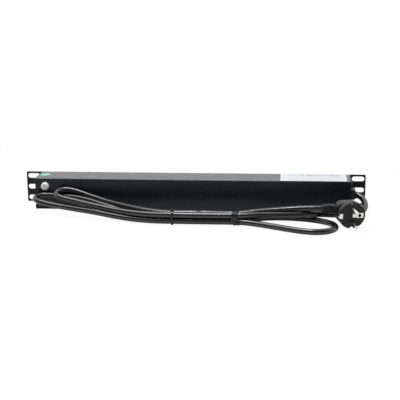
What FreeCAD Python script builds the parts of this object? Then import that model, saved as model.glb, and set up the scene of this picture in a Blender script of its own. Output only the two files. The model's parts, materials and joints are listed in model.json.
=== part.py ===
import FreeCAD, Part
import math
import os

# Rack power distribution unit, 1U high, for a 19-inch rack: an aluminium channel closed at both
# ends by folded mounting brackets, eight earthed outlets turned 45 degrees along its front, and
# a supply cord with a moulded side-earth plug that lies folded and tied behind the unit.
#
# Frame: X runs along the unit, +Y points out of the outlets (front), +Z is up. The origin is the
# middle of the unit's base, and the unit stands on Z = 0. All lengths are in millimetres.

V = FreeCAD.Vector
X_AXIS = V(1, 0, 0)
Y_AXIS = V(0, 1, 0)
Z_AXIS = V(0, 0, 1)

# Overall sizes
RACK_W = 482.6          # over the two ears
UNIT_H = 43.7           # one rack unit less its working gap
EAR_REACH = 22.3        # ear past the end plate
BODY_D = 44.0           # rear face to outlet face

# Channel
WALL = 1.5
REAR_WALL = 2.0
EDGE_R = 1.0            # rounded outer rear edges
RIB_BACK = 24.0         # snap rib, behind the outlet face
RIB_W = 1.6
RIB_H = 0.9
PORT_R = 2.6            # screw port, outside
PORT_HOLE_R = 1.5
PORT_GAP = 1.2          # open slit of the port
PORT_SINK = 0.8         # port sunk into the walls of its corner

# Brackets
SHEET = 1.5
BEND_R = 0.8            # inside of the fold
EAR_R = 2.0             # outer corners of the ears
SLOT_L = 17.4
SLOT_W = 7.0
SLOT_EDGE = 1.9         # metal left beside the slot at the ear's edge
SLOT_PITCH = 15.875
SLOT_ROWS = 3

# End screws
END_SHANK_R = 1.4
END_SHANK_L = 9.0
END_HEAD_R = 3.2
END_HEAD_H = 1.4
END_SIDE = END_HEAD_H / 3   # straight side of the head
END_FLAT = 1.6          # flat middle of the head
END_HOLE_R = 1.7
END_CROSS_L = 3.4       # cross recess
END_CROSS_W = 0.8
END_CROSS_D = 0.9

# Fits
FIT = 0.3               # sliding fit of the moulded pieces in the channel
FACE_GAP = 0.1          # half of the joint between two face plates
CONTACT_FIT = 0.2       # contacts in their pockets
JOINT_FIT = 0.05        # threads and soldered joints
PAST = 1.0              # a cutting tool runs this far past the piece

# Outlets
OUTLETS = 8
FACE_T = 2.2
FACE_EDGE = 0.6         # chamfer round a face plate
BODY_GAP = 1.4          # moulded body stands in from the face plate's sides
BODY_BACK = 34.5        # back of the moulded body, behind the outlet face
WELL_R = 19.3
WELL_D = 17.5
WELL_LIP = 0.8          # chamfer of the mouth
PIN_SPACING = 19.0
PIN_HOLE_R = 2.8
POCKET = 7.2            # square contact pocket behind each pin hole
POCKET_D = 14.0
GUIDE_W = 4.6           # ribs that steer the plug
GUIDE_H = 2.8
GUIDE_BACK = 1.0
TURN = 45.0             # outlets stand turned in the strip
CLIP_W = 5.0            # earth clips
CLIP_T = 0.8
CLIP_IN = 18.5          # inner face of a clip, from the outlet's axis
CLIP_FRONT = 3.2        # tip of a clip, behind the outlet face

# Blank cover at the left and terminal cover at the right
FILLER_W = 12.0
COVER_W = 39.0
LEG_T = 2.4
LEG_BACK = 28.0
LEG_INSET = 2.0

# Rails
RAIL_T = 0.8
RAIL_H = 5.0
EARTH_RAIL_H = 8.0
SHEET_T = 0.6           # insulator between the rails
SHEET_H = 21.0
FORK_L = 12.0
FORK_W = 5.0
FORK_GAP = 4.8          # between the two leaves of a fork
RAIL_OVERRUN = 7.0      # past the last contact, at the left
RAIL_IN_BLOCK = 4.0

# Terminal block
BLOCK_GAP = 1.6         # from the last outlet's face plate
BLOCK_W = 15.0
BLOCK_FIT = 0.4         # from the screw ports
BLOCK_FRONT = 22.0      # front of the block, behind the outlet face
BLOCK_ROW = 10.0        # between terminals
BLOCK_SCREW_R = 2.1
BLOCK_SCREW_D = 6.0
LEAD_R = 1.4
CORE_OFF = 2.0          # cores from the cord's axis
LEAD_IN = 3.0
LEAD_STRAIGHT = 0.3     # share of its run that a lead stays straight at each end
LEAD_BACK = 30.0        # leads at the block, behind the outlet face

# Earth stud on the rear face
EARTH_IN = 14.0         # from the left end plate's outside
EARTH_BELOW = 10.7      # from the top
EARTH_R = 2.5
EARTH_HOLE_R = 2.7
EARTH_HEAD_R = 5.55
EARTH_HEAD_H = 3.3
EARTH_SIDE = 1.2        # straight side of the head
EARTH_FLAT = 2.6        # flat middle of the head
EARTH_CROSS_L = 5.6     # cross recess
EARTH_CROSS_W = 1.1
EARTH_CROSS_D = 1.8
EARTH_SPARE = 0.4       # thread past the nut
DOME_STEPS = 5
WASHER_T = 0.9
WASHER_R = 5.7
RING_T = 0.9
RING_R = 4.5
NUT_T = 2.7
NUT_AF = 8.0
BOND_R = 1.5
BOND_IN = 2.5           # lead starts here in its barrel
BOND_OUT = 10.0         # straight part past the barrel's start
BOND_DROP = 12.0        # length of the slanting part
BOND_TAIL = 12.0        # soldered part on the rail
BARREL_R = 2.1
BARREL_L = 7.0
BARREL_GAP = 1.5        # from the ring
BARREL_END = 2.0        # closed end
TONGUE_LAP = 1.2

# Cord bushing in the right end plate
BUSH_H = 14.0
BUSH_D = 20.0
BUSH_PROUD = 6.6
BUSH_EDGE = 1.2
BUSH_UP = 0.35          # axis above the middle
BUSH_BACK = 22.0        # axis, in front of the rear face
SHANK_H = 11.4
SHANK_D = 16.0
LATCH_H = 13.4
LATCH_T = 4.5
CORD_FIT = 0.1
FLARE = 1.2             # the mouth opens this much for the bend

# Label and sticker on the top face
FILM = 0.15
LABEL_L = 91.0
LABEL_W = 40.4
LABEL_IN = 51.0         # middle of the label, from the right end plate's outside
LABEL_CORNER = 1.0
STICKER_R = 6.9
STICKER_IN = 9.7        # from the left end plate's outside
STICKER_BACK = 24.0     # from the rear face

# Plug
PLUG_R = 17.8
PLUG_RIM = 9.5          # depth of the round front part
PLUG_EDGE = 1.0
EDGE_STEPS = 2
WAIST_R = 13.6          # finger groove behind the rim
WAIST_L = 2.6
GRIP_LEFT = 17.4        # grip block, from the plug's axis
GRIP_RIGHT = 14.4
GRIP_H = 27.2
GRIP_CORNER = 9.6
GRIP_FULL = 18.0        # end of the full section, behind the plug's face
GRIP_BACK = 35.4
GRIP_ROUND = 9.0        # inset of the rounded back
GRIP_STEPS = 4
NECK_BACK = 26.0        # cord's line where it meets the plug's axis, behind the face
NECK_SLOPE = 0.2        # the neck leans back by this share of its length
NECK_H = 11.6
NECK_TAPER = 0.8
NECK_CORNER = 4.0
NECK_ROOT = 11.0        # start of the neck, inside the grip, from the plug's axis
NECK_L = 31.0           # mouth of the neck, from the plug's axis
NECK_SLOTS = 3
NECK_SLOT_W = 1.5
NECK_SLOT_H = 2.4
NECK_SLOT_D = 2.2
NECK_SLOT_UP = 1.6      # above the cord's line
NECK_SLOT_PITCH = 3.4
NECK_SLOT_MID = 23.6    # middle slot, from the plug's axis
NECK_HOLD = 5.0         # cord held inside the neck
PLUG_PIN_R = 2.4
PLUG_PIN_L = 19.0
PLUG_PIN_HOLD = 8.0
PLUG_PIN_TIP = 1.6      # length of the rounded tip
PLUG_PIN_FLAT = 0.9
PIN_STEPS = 3
PLUG_TILT = 6.0         # face turned down
PLUG_YAW = 15.0         # face turned to the right
NOTCH_W = 5.2
NOTCH_D = 2.6
STRAP_W = 6.6
STRAP_T = 0.8
STRAP_SINK = 4.0        # bridge of the strap, behind the face
STRAP_SIDE = 0.7        # side contacts, under the rim's surface
STRAP_SHORT = 1.5       # side contacts end before the rim's back
STRAP_LEFT = 5.0        # inner end of the left pad, from the rim
STRAP_RIGHT = 3.1       # outer end of the right pad, from the rim
STRAP_INNER = 6.0       # inner end of the right pad, from the axis
STEP_INNER = 0.5        # sunk tongue beside the right pad
STEP_W = 5.6
STEP_SINK = 0.7
EARTH_PIN_R = 2.3
EARTH_PIN_AT = 9.7
EARTH_PIN_FLOOR = 0.5   # left over the bridge

# Ties round the folded cord
HANK_REACH = 67.95      # middle of the four strands, in front of the rear face
HANK_Z = 9.65
HANK_HALF = 8.5         # inside of a tie, from the middle
HANK_CORNER = 4.4
TIE_X = -19.0
TIE_W = 2.6
TIE_T = 1.0
TIE_HEAD = (3.8, 4.2, 2.6)
TIE_HEAD_OUT = 3.0      # head in front of the hank's middle
TIE_TAIL = 1.4
TWIST_X = 64.6
TWIST_W = 2.3
TWIST_T = 0.9
TWIST_BASE = 0.5        # under the turns
TWIST_PITCH = 3.1
TWIST_TURNS = 3
TWIST_END_R = 0.75
TWIST_KNOT = 2.6        # half length of the twisted ends
TWIST_RISE = 1.6
TWIST_LOW = 2.0         # knot below the hank's middle
TWIST_UP = 5.0          # standing end

# Supply cord: it leaves the bushing on its axis, dips behind the plug, runs to the hank, folds
# twice at the left and once at the right, and ends in the plug's neck. The route is x, reach out
# from the rear face and height; its x belongs to ROUTE_BODY_L and follows the body that is built.
CORD_R = 4.0
CORD_IN = 7.5           # sheath ends inside the right end plate
CORD_OUT = 1.5          # first bend, outside it
ROUTE_BODY_L = 438.0
ROUTE = [
    (229.6, -20.6, 20.7), (236.2, -12.4, 16.2),
    (238.4, 1.0, 11.0), (234.5, 13.5, 7.2), (224.0, 24.0, 5.8), (209.0, 32.5, 6.4),
    (192.0, 41.0, 8.3), (173.1, 53.0, 12.4), (150.7, 59.4, 12.7), (129.7, 64.0, 13.4),
    (108.7, 66.0, 13.7), (89.1, 70.0, 14.2), (71.0, 72.0, 13.9), (57.0, 72.4, 13.8),
    (43.0, 72.8, 13.75), (29.0, 73.1, 13.8), (15.0, 73.1, 13.85), (1.5, 72.8, 13.85),
    (-12.0, 72.4, 13.8), (-26.0, 72.3, 13.85), (-47.0, 70.0, 13.4), (-73.8, 62.5, 13.2),
    (-99.6, 54.0, 14.6), (-124.1, 44.9, 16.8), (-145.6, 37.8, 19.4), (-163.6, 32.4, 22.0),
    (-178.2, 29.8, 24.4), (-185.5, 22.6, 26.3), (-185.5, 12.3, 28.6), (-178.2, 5.0, 30.2),
    (-167.0, 4.4, 29.2), (-152.8, 5.8, 25.9), (-135.1, 11.0, 21.4), (-111.5, 21.4, 18.2),
    (-85.6, 36.6, 16.3), (-62.0, 51.2, 14.8), (-43.0, 59.5, 14.0), (-26.0, 63.5, 13.85),
    (-12.0, 63.9, 13.8), (2.0, 63.9, 13.7), (15.0, 63.8, 11.8), (29.0, 63.7, 7.8),
    (43.0, 63.8, 5.7), (57.0, 63.8, 5.5), (71.0, 63.6, 5.45), (87.0, 58.5, 5.9), (106.0, 50.4, 5.8),
    (127.0, 45.0, 4.6), (147.0, 45.6, 4.1), (166.0, 51.0, 4.05), (183.0, 61.0, 4.05),
    (194.3, 75.0, 4.05), (195.8, 92.0, 4.05), (185.5, 105.5, 4.05), (168.5, 110.5, 4.05),
    (149.0, 105.5, 4.05), (128.0, 94.5, 4.05), (108.0, 83.5, 4.1), (89.0, 75.6, 4.7),
    (72.0, 72.4, 5.45), (57.0, 72.2, 5.5), (43.0, 72.75, 5.4), (29.0, 73.0, 5.4), (15.0, 73.0, 5.4),
    (1.5, 72.7, 5.4), (-12.0, 72.3, 5.35), (-26.0, 72.0, 5.45), (-46.0, 69.5, 5.0),
    (-71.0, 63.5, 4.9), (-97.8, 57.2, 6.6), (-123.5, 50.0, 9.8), (-150.0, 40.4, 10.9),
    (-173.0, 33.4, 12.5), (-191.2, 30.6, 14.6), (-206.7, 28.8, 17.4), (-215.0, 21.5, 19.5),
    (-215.4, 11.5, 20.9), (-207.5, 4.9, 21.6), (-193.5, 4.5, 20.9), (-178.3, 5.8, 20.1),
    (-158.3, 10.0, 19.8), (-136.5, 18.5, 17.0), (-110.8, 31.0, 12.8), (-84.4, 42.5, 8.3),
    (-62.0, 51.8, 6.0), (-43.0, 59.5, 5.6), (-26.0, 63.5, 5.5), (-12.0, 63.9, 5.5),
    (2.0, 60.6, 5.6), (15.0, 55.2, 7.4), (29.0, 55.0, 11.6), (43.0, 60.4, 13.7), (57.0, 63.8, 13.8),
    (71.0, 63.6, 13.95), (90.1, 60.4, 16.0), (109.8, 57.4, 17.3), (130.9, 56.4, 18.8),
    (149.0, 56.4, 20.4), (160.5, 57.0, 20.9), (171.4, 57.5, 21.36), (183.6, 56.7, 21.11),
]
ARC_SHARE = 0.45        # share of the shorter run that a bend may take

# Places that follow from the sizes
BODY_L = RACK_W - 2 * EAR_REACH
PROUD = EARTH_HEAD_H + WASHER_T
REAR = (PROUD - BODY_D) / 2
FRONT = REAR + BODY_D
MID_Z = UNIT_H / 2
HALF_L = BODY_L / 2
INNER_L = BODY_L - 2 * SHEET
CHANNEL_H = UNIT_H - 2 * WALL
PART_H = CHANNEL_H - 2 * FIT
PITCH = (INNER_L - FILLER_W - COVER_W) / OUTLETS
BODY_W = PITCH - 2 * BODY_GAP
STRIP_X0 = -INNER_L / 2
OUTLET_X0 = STRIP_X0 + FILLER_W
OUTLET_X1 = OUTLET_X0 + OUTLETS * PITCH
REAR_INSIDE = REAR + REAR_WALL
PORT_END = WALL + 2 * PORT_R - PORT_SINK
RAIL_Y = FRONT - BODY_BACK
SHEET_Y = RAIL_Y - RAIL_T
EARTH_RAIL_Y = SHEET_Y - SHEET_T
PIN_OFF = PIN_SPACING / 2 * math.sin(math.radians(TURN))
BLOCK_X0 = OUTLET_X1 + BLOCK_GAP
BLOCK_H = UNIT_H - 2 * (PORT_END + BLOCK_FIT)
EARTH_X = EARTH_IN - HALF_L
EARTH_Z = UNIT_H - EARTH_BELOW
BUSH_Z = MID_Z + BUSH_UP
BUSH_Y = REAR + BUSH_BACK
LABEL_X = HALF_L - LABEL_IN
STICKER_X = STICKER_IN - HALF_L
SLOT_X = RACK_W / 2 - SLOT_EDGE - SLOT_L / 2
STRETCH = BODY_L / ROUTE_BODY_L


def box(x0, x1, y0, y1, z0, z1):
    return Part.makeBox(x1 - x0, y1 - y0, z1 - z0, V(x0, y0, z0))


def rod(radius, start, end):
    return Part.makeCylinder(radius, (end - start).Length, start, end - start)


def outlet_x(i):
    return OUTLET_X0 + (i + 0.5) * PITCH


def outline(points):
    """Closed wire through points; a pair of points between two others is an arc's middle and end."""
    edges = []
    here = points[0]
    for step in points[1:] + [points[0]]:
        if isinstance(step, tuple):
            edges.append(Part.Arc(here, step[0], step[1]).toShape())
            here = step[1]
        elif (step - here).Length > 1e-9:
            edges.append(Part.LineSegment(here, step).toShape())
            here = step
    return Part.Wire(edges)


def arc_point(centre, radius, degrees, across, up):
    a = math.radians(degrees)
    return centre + across * (radius * math.cos(a)) + up * (radius * math.sin(a))


def rounded_rect(centre, width, height, radius, across, up):
    """Closed wire of a rectangle with round corners, in the plane of the two directions."""
    w = width / 2 - radius
    h = height / 2 - radius
    edges = []
    ends = []
    for sx, sy, a in ((1, 1, 0), (-1, 1, 90), (-1, -1, 180), (1, -1, 270)):
        c = centre + across * (sx * w) + up * (sy * h)
        p = [arc_point(c, radius, a + t, across, up) for t in (0, 45, 90)]
        edges.append(Part.Arc(p[0], p[1], p[2]).toShape())
        ends.append((p[0], p[2]))
    for i in range(4):
        a = ends[i][1]
        b = ends[(i + 1) % 4][0]
        if (b - a).Length > 1e-6:
            edges.append(Part.LineSegment(a, b).toShape())
    return Part.Wire(Part.__sortEdges__(edges))


def prism(wire, along):
    return Part.Face(wire).extrude(along)


def turned(profile, axis_point, axis):
    """Solid of revolution of a list of points."""
    return Part.Face(Part.makePolygon(profile + [profile[0]])).revolve(axis_point, axis, 360)


def quarter(start, end, steps):
    """Points of a quarter ellipse in (along, radius), from the side of a turned head to its flat."""
    points = []
    for k in range(steps + 1):
        a = math.pi / 2 * k / steps
        along = start[0] + (end[0] - start[0]) * math.sin(a)
        points.append((along, end[1] + (start[1] - end[1]) * math.cos(a)))
    return points


def bent_tube(points, radius):
    """Round tube along straight runs joined by tangent arcs as large as the runs allow."""
    edges = []
    radii = []
    length = 0.0
    here = points[0]
    for a, b, c in zip(points, points[1:], points[2:]):
        u = (b - a).normalize()
        w = (c - b).normalize()
        turn = u.getAngle(w)
        cut = ARC_SHARE * min((b - a).Length, (c - b).Length)
        bend = cut / math.tan(turn / 2)
        start = b - u * cut
        end = b + w * cut
        inward = (w - u).normalize()
        middle = b + inward * (bend * (1 / math.cos(turn / 2) - 1))
        edges.append(Part.LineSegment(here, start).toShape())
        edges.append(Part.Arc(start, middle, end).toShape())
        length += (start - here).Length + bend * turn
        radii.append(bend)
        here = end
    edges.append(Part.LineSegment(here, points[-1]).toShape())
    length += (points[-1] - here).Length
    start_dir = (points[1] - points[0]).normalize()
    ring = Part.Wire(Part.makeCircle(radius, points[0], start_dir))
    tube = Part.Wire(edges).makePipeShell([ring], True, False)
    return tube, length, radii


def make_channel():
    """U-channel with two snap ribs and two open screw ports, as one drawn profile has them."""
    lip = FRONT - FACE_T
    x0 = -INNER_L / 2
    along = V(INNER_L, 0, 0)

    def at(y, z):
        return V(x0, y, z)

    bow = EDGE_R * (1 - math.sqrt(0.5))
    walls = outline([
        at(lip, 0), at(REAR + EDGE_R, 0), (at(REAR + bow, bow), at(REAR, EDGE_R)),
        at(REAR, UNIT_H - EDGE_R), (at(REAR + bow, UNIT_H - bow), at(REAR + EDGE_R, UNIT_H)),
        at(lip, UNIT_H), at(lip, UNIT_H - WALL), at(REAR_INSIDE, UNIT_H - WALL),
        at(REAR_INSIDE, WALL), at(lip, WALL),
    ])
    channel = prism(walls, along)
    rib_y = FRONT - RIB_BACK
    for z in (WALL, UNIT_H - WALL - RIB_H):
        channel = channel.fuse(box(x0, -x0, rib_y, rib_y + RIB_W, z, z + RIB_H))
    for y, z in port_centres():
        channel = channel.fuse(rod(PORT_R, at(y, z), at(y, z) + along))
    for y, z in port_centres():
        channel = channel.cut(rod(PORT_HOLE_R, at(y, z), at(y, z) + along))
        channel = channel.cut(box(x0, -x0, y, y + 2 * PORT_R, z - PORT_GAP / 2, z + PORT_GAP / 2))
    stud = rod(EARTH_HOLE_R, V(EARTH_X, REAR - PAST, EARTH_Z), V(EARTH_X, REAR_INSIDE + PAST, EARTH_Z))
    return channel.removeSplitter().cut(stud)


def port_centres():
    """Screw ports in the two rear inside corners, sunk a little into the walls."""
    y = REAR_INSIDE + PORT_R - PORT_SINK
    low = WALL + PORT_R - PORT_SINK
    return [(y, low), (y, UNIT_H - low)]


def make_bracket(side):
    """End plate with an ear folded outwards at the front, in one sheet."""
    inner = HALF_L - SHEET
    ear = RACK_W / 2
    axis = V(HALF_L + BEND_R, FRONT - SHEET - BEND_R, 0)
    big = BEND_R + SHEET
    leaf = outline([
        V(HALF_L, REAR, 0),
        V(HALF_L, axis.y, 0),
        (arc_point(axis, BEND_R, 135, X_AXIS, Y_AXIS), V(axis.x, FRONT - SHEET, 0)),
        V(ear, FRONT - SHEET, 0),
        V(ear, FRONT, 0),
        V(axis.x, FRONT, 0),
        (arc_point(axis, big, 135, X_AXIS, Y_AXIS), V(inner, axis.y, 0)),
        V(inner, REAR, 0),
    ])
    plate = prism(leaf, V(0, 0, UNIT_H))
    corners = [e for e in plate.Edges if abs(e.BoundBox.YLength - SHEET) < 1e-6
               and e.BoundBox.XLength < 1e-6 and abs(e.CenterOfMass.x - ear) < 1e-6]
    plate = plate.makeFillet(EAR_R, corners)
    for row in range(SLOT_ROWS):
        z = MID_Z + (row - (SLOT_ROWS - 1) / 2) * SLOT_PITCH
        slot = rounded_rect(V(SLOT_X, FRONT - SHEET - PAST, z), SLOT_L, SLOT_W, SLOT_W / 2, X_AXIS, Z_AXIS)
        plate = plate.cut(prism(slot, V(0, SHEET + 2 * PAST, 0)))
    for y, z in port_centres():
        plate = plate.cut(rod(END_HOLE_R, V(inner - PAST, y, z), V(HALF_L + PAST, y, z)))
    if side > 0:
        hole = rounded_rect(V(inner - PAST, BUSH_Y, BUSH_Z), SHANK_D + 2 * CONTACT_FIT,
                            SHANK_H + 2 * CONTACT_FIT, BUSH_EDGE, Y_AXIS, Z_AXIS)
        return plate.cut(prism(hole, V(SHEET + 2 * PAST, 0, 0)))
    return plate.mirror(V(0, 0, 0), X_AXIS)


def make_end_screw(side, port):
    """Low-headed screw with a cross recess, through an end plate into a screw port."""
    y, z = port_centres()[port]
    head = HALF_L + END_HEAD_H
    tip = HALF_L - SHEET - END_SHANK_L

    def at(x, radius):
        return V(x, y + radius, z)

    profile = [at(tip, 0), at(tip, END_SHANK_R), at(HALF_L, END_SHANK_R), at(HALF_L, END_HEAD_R)]
    for x, r in quarter((HALF_L + END_SIDE, END_HEAD_R), (head, END_FLAT), DOME_STEPS):
        profile.append(at(x, r))
    profile.append(at(head, 0))
    screw = turned(profile, V(0, y, z), X_AXIS)
    for a, b in ((END_CROSS_L / 2, END_CROSS_W / 2), (END_CROSS_W / 2, END_CROSS_L / 2)):
        screw = screw.cut(box(head - END_CROSS_D, head + PAST, y - a, y + a, z - b, z + b))
    return screw if side > 0 else screw.mirror(V(0, 0, 0), X_AXIS)


def face_plate(x0, x1):
    plate = box(x0, x1, FRONT - FACE_T, FRONT, 0, UNIT_H)
    front = [e for e in plate.Edges if e.BoundBox.YMin > FRONT - 1e-6]
    return plate.makeChamfer(FACE_EDGE, front)


def snap_grooves(x0, x1):
    """Clearance for the channel's two snap ribs."""
    y0 = FRONT - RIB_BACK - CONTACT_FIT
    y1 = FRONT - RIB_BACK + RIB_W + CONTACT_FIT
    deep = WALL + RIB_H + CONTACT_FIT
    low = box(x0 - PAST, x1 + PAST, y0, y1, 0, deep)
    high = box(x0 - PAST, x1 + PAST, y0, y1, UNIT_H - deep, UNIT_H)
    return low.fuse(high)


def outlet_turned(shape, cx):
    """Turns a piece drawn upright about the axis of an outlet."""
    done = shape.copy()
    done.rotate(V(cx, 0, MID_Z), Y_AXIS, TURN)
    return done


def make_outlet(i):
    """Face plate and moulded body with the round well, guide ribs, pin holes and contact pockets."""
    cx = outlet_x(i)
    lip = FRONT - FACE_T
    back = FRONT - BODY_BACK
    body = box(cx - BODY_W / 2, cx + BODY_W / 2, back, lip, MID_Z - PART_H / 2, MID_Z + PART_H / 2)
    module = face_plate(cx - PITCH / 2 + FACE_GAP, cx + PITCH / 2 - FACE_GAP).fuse(body)
    module = module.removeSplitter()
    axis = V(cx, FRONT, MID_Z)
    floor = FRONT - WELL_D
    profile = [
        V(cx, FRONT, MID_Z), V(cx + WELL_R + WELL_LIP, FRONT, MID_Z),
        V(cx + WELL_R, FRONT - WELL_LIP, MID_Z), V(cx + WELL_R, floor, MID_Z), V(cx, floor, MID_Z),
    ]
    well = turned(profile, axis, Y_AXIS)
    for sign in (-1, 1):
        x0, x1 = sorted((cx + sign * (WELL_R - GUIDE_H), cx + sign * (WELL_R + WELL_LIP)))
        rib = box(x0, x1, floor, FRONT - GUIDE_BACK, MID_Z - GUIDE_W / 2, MID_Z + GUIDE_W / 2)
        well = well.cut(outlet_turned(rib, cx))
    module = module.cut(well)
    module = module.cut(snap_grooves(cx - BODY_W / 2, cx + BODY_W / 2))
    for sign in (-1, 1):
        px = cx + sign * PIN_OFF
        pz = MID_Z - sign * PIN_OFF
        module = module.cut(rod(PIN_HOLE_R, V(px, back, pz), V(px, floor + PAST, pz)))
        half = POCKET / 2
        module = module.cut(box(px - half, px + half, back, back + POCKET_D, pz - half, pz + half))
        r0 = CLIP_IN - CONTACT_FIT
        r1 = CLIP_IN + CLIP_T + CONTACT_FIT
        z0, z1 = sorted((MID_Z + sign * r0, MID_Z + sign * r1))
        w = CLIP_W / 2 + CONTACT_FIT
        slot = box(cx - w, cx + w, back, FRONT - CLIP_FRONT + CONTACT_FIT, z0, z1)
        module = module.cut(outlet_turned(slot, cx))
    return module


def make_cover(x0, x1):
    """Plain face plate with two snap legs."""
    plate = face_plate(x0 + FACE_GAP, x1 - FACE_GAP)
    lip = FRONT - FACE_T
    low = MID_Z - PART_H / 2
    high = MID_Z + PART_H / 2
    for z0, z1 in ((low, low + LEG_T), (high - LEG_T, high)):
        leg = box(x0 + LEG_INSET, x1 - LEG_INSET, FRONT - LEG_BACK, lip, z0, z1)
        plate = plate.fuse(leg)
    return plate.removeSplitter().cut(snap_grooves(x0, x1))


def make_rail(sign):
    """Flat rail with one pair of fork leaves for each outlet; sign -1 is the upper, live one."""
    z = MID_Z - sign * PIN_OFF
    first = outlet_x(0) + sign * PIN_OFF
    x1 = BLOCK_X0 + RAIL_IN_BLOCK
    rail = box(first - RAIL_OVERRUN, x1, RAIL_Y - RAIL_T, RAIL_Y, z - RAIL_H / 2, z + RAIL_H / 2)
    for i in range(OUTLETS):
        px = outlet_x(i) + sign * PIN_OFF
        for s in (-1, 1):
            a, b = sorted((px + s * FORK_GAP / 2, px + s * (FORK_GAP / 2 + RAIL_T)))
            leaf = box(a, b, RAIL_Y - RAIL_T, RAIL_Y + FORK_L, z - FORK_W / 2, z + FORK_W / 2)
            rail = rail.fuse(leaf)
    return rail.removeSplitter()


def make_insulator():
    x0 = outlet_x(0) - PIN_OFF - RAIL_OVERRUN
    return box(x0, BLOCK_X0, EARTH_RAIL_Y, SHEET_Y, MID_Z - SHEET_H / 2, MID_Z + SHEET_H / 2)


def make_earth_rail():
    """Flat rail with a pair of arms bent forwards into each outlet as its earth clips."""
    y0 = EARTH_RAIL_Y - RAIL_T
    x0 = outlet_x(0) - PIN_OFF - RAIL_OVERRUN
    x1 = BLOCK_X0 + RAIL_IN_BLOCK
    rail = box(x0, x1, y0, EARTH_RAIL_Y, MID_Z - EARTH_RAIL_H / 2, MID_Z + EARTH_RAIL_H / 2)
    for i in range(OUTLETS):
        cx = outlet_x(i)
        reach = CLIP_IN + CLIP_T
        arm = box(cx - CLIP_W / 2, cx + CLIP_W / 2, y0, EARTH_RAIL_Y, MID_Z - reach, MID_Z + reach)
        for sign in (-1, 1):
            z0, z1 = sorted((MID_Z + sign * CLIP_IN, MID_Z + sign * reach))
            arm = arm.fuse(box(cx - CLIP_W / 2, cx + CLIP_W / 2, y0, FRONT - CLIP_FRONT, z0, z1))
        rail = rail.fuse(outlet_turned(arm, cx))
    return rail.removeSplitter()


def lead_targets():
    """Entries of the three leads in the right face of the terminal block."""
    x = BLOCK_X0 + BLOCK_W
    return [V(x, FRONT - LEAD_BACK, MID_Z + k * BLOCK_ROW) for k in (1, 0, -1)]


def make_block():
    """Terminal block on the rear wall; the rails enter at its left, the leads at its right."""
    x0 = BLOCK_X0
    x1 = x0 + BLOCK_W
    z0 = MID_Z - BLOCK_H / 2
    block = box(x0, x1, REAR_INSIDE, FRONT - BLOCK_FRONT, z0, z0 + BLOCK_H)
    deep = RAIL_IN_BLOCK + CONTACT_FIT
    y0 = EARTH_RAIL_Y - RAIL_T - CONTACT_FIT
    block = block.cut(box(x0, x0 + deep, y0, EARTH_RAIL_Y + CONTACT_FIT,
                          MID_Z - EARTH_RAIL_H / 2 - CONTACT_FIT,
                          MID_Z + EARTH_RAIL_H / 2 + CONTACT_FIT))
    for sign in (-1, 1):
        z = MID_Z + sign * PIN_OFF
        half = RAIL_H / 2 + CONTACT_FIT
        block = block.cut(box(x0, x0 + deep, RAIL_Y - RAIL_T - CONTACT_FIT, RAIL_Y + CONTACT_FIT,
                              z - half, z + half))
    for entry in lead_targets():
        block = block.cut(rod(LEAD_R + CONTACT_FIT, entry - X_AXIS * LEAD_IN, entry + X_AXIS * PAST))
        top = V(x0 + BLOCK_W / 2, FRONT - BLOCK_FRONT, entry.z)
        block = block.cut(rod(BLOCK_SCREW_R, top - Y_AXIS * BLOCK_SCREW_D, top + Y_AXIS * PAST))
    return block


def make_lead(k):
    """One core of the cord, from the end of its sheath to the terminal block."""
    start = route_points()[0]
    a = math.radians(90 + 120 * k)
    core = start + Y_AXIS * (CORE_OFF * math.cos(a)) + Z_AXIS * (CORE_OFF * math.sin(a))
    entry = lead_targets()[k]
    run = core.x - entry.x
    points = [core, core - X_AXIS * (LEAD_STRAIGHT * run), entry + X_AXIS * (LEAD_STRAIGHT * run),
              entry - X_AXIS * (LEAD_IN - CONTACT_FIT)]
    return bent_tube(points, LEAD_R)[0]


def make_bushing():
    """Square-headed cord bushing: head outside, shank through the end plate, latch behind it."""
    def ring(x, depth, height):
        return rounded_rect(V(x, BUSH_Y, BUSH_Z), depth, height, BUSH_EDGE, Y_AXIS, Z_AXIS)

    head = prism(ring(HALF_L, BUSH_D, BUSH_H), V(BUSH_PROUD, 0, 0))
    rim = [e for e in head.Edges if e.BoundBox.XMin > HALF_L + BUSH_PROUD - 1e-6]
    head = head.makeFillet(BUSH_EDGE / 2, rim)
    shank = prism(ring(HALF_L - SHEET - LATCH_T, SHANK_D, SHANK_H), V(SHEET + LATCH_T, 0, 0))
    latch = Part.makeLoft([ring(HALF_L - SHEET - FIT, SHANK_D, LATCH_H),
                           ring(HALF_L - SHEET - LATCH_T, SHANK_D, SHANK_H)], True)
    bushing = head.fuse([shank, latch]).removeSplitter()
    start = HALF_L - SHEET - LATCH_T
    bore = rod(CORD_R + CORD_FIT, V(start - PAST, BUSH_Y, BUSH_Z), V(HALF_L, BUSH_Y, BUSH_Z))
    flare = Part.makeCone(CORD_R + CORD_FIT, CORD_R + CORD_FIT + FLARE, BUSH_PROUD,
                          V(HALF_L, BUSH_Y, BUSH_Z), X_AXIS)
    return bushing.cut(bore).cut(flare)


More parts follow.
